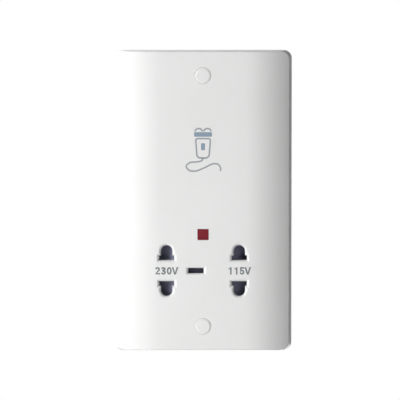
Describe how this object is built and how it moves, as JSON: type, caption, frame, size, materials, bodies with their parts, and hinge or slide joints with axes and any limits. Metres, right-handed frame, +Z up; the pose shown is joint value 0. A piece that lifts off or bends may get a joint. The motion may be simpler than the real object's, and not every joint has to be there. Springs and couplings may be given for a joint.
{
  "type": "shaver socket",
  "caption": "Wall shaver supply socket: curved white faceplate with shuttered pin outlets, neon window and capped fixing screws over a housing with an isolating transformer.",
  "frame": {"origin": "centre of the faceplate's rear rim, in the plane of the wall", "axes": "+Z up the plate, +Y into the wall, +X to the right as the face is seen"},
  "size_m": [0.086, 0.0483, 0.146],
  "materials": {
    "faceplate_white": "satin moulded white plastic",
    "lens_red": "clear red moulded lens",
    "shutter_dark": "dark slate moulded nylon",
    "carrier_dark": "dark moulded thermoset",
    "housing_grey": "fine-textured grey moulding",
    "zinc_steel": "zinc-plated steel",
    "spring_steel": "drawn spring wire",
    "contact_brass": "folded brass strip",
    "terminal_brass": "machined brass",
    "switch_bronze": "phosphor bronze strip",
    "core_steel": "varnished steel laminations",
    "bobbin_nylon": "natural nylon",
    "winding_copper": "enamelled copper wire",
    "cutout_black": "black sleeve",
    "lamp_glass": "clear glass",
    "resistor_tan": "lacquered body",
    "lead_brown": "insulated wire",
    "lead_blue": "insulated wire",
    "lead_green": "insulated wire",
    "lead_red": "insulated wire",
    "lead_yellow": "insulated wire",
    "lead_black": "insulated wire",
    "lead_white": "insulated wire"
  },
  "bodies": {
    "body": {"front_plate": "faceplate_white", "screw_cap_upper": "faceplate_white", "screw_cap_lower": "faceplate_white", "neon_lens": "lens_red", "contact_carrier": "carrier_dark", "rear_housing": "housing_grey", "fixing_screw_upper": "zinc_steel", "fixing_screw_lower": "zinc_steel", "core_screws": "zinc_steel", "housing_screws": "zinc_steel", "terminal_screws": "zinc_steel", "shutter_spring_left": "spring_steel", "shutter_spring_right": "spring_steel", "contact_230_upper": "contact_brass", "contact_230_lower": "contact_brass", "contact_115_upper": "contact_brass", "contact_115_lower": "contact_brass", "terminal_live": "terminal_brass", "terminal_neutral": "terminal_brass", "terminal_earth": "terminal_brass", "switch_leaf": "switch_bronze", "switch_fixed_contact": "switch_bronze", "transformer_core": "core_steel", "bobbin": "bobbin_nylon", "primary_winding": "winding_copper", "secondary_winding": "winding_copper", "thermal_cutout": "cutout_black", "neon_lamp": "lamp_glass", "neon_resistor": "resistor_tan", "live_lead": "lead_brown", "switched_lead": "lead_brown", "neutral_lead": "lead_blue", "earth_lead": "lead_green", "tap_230_lead": "lead_red", "tap_115_lead": "lead_yellow", "common_lead": "lead_black", "common_link": "lead_black", "neon_lead": "lead_white", "neon_return_lead": "lead_white"},
    "shutter": {"interlock_shutter": "shutter_dark"}
  },
  "joints": [
    {"name": "shutter_slide", "type": "slide", "parent": "body", "child": "shutter", "axis": [1, 0, 0], "range_m": [-0.008, 0.008], "stiffness_N_per_m": 150, "deforming": ["shutter_spring_left", "shutter_spring_right", "switch_leaf"]}
  ]
}
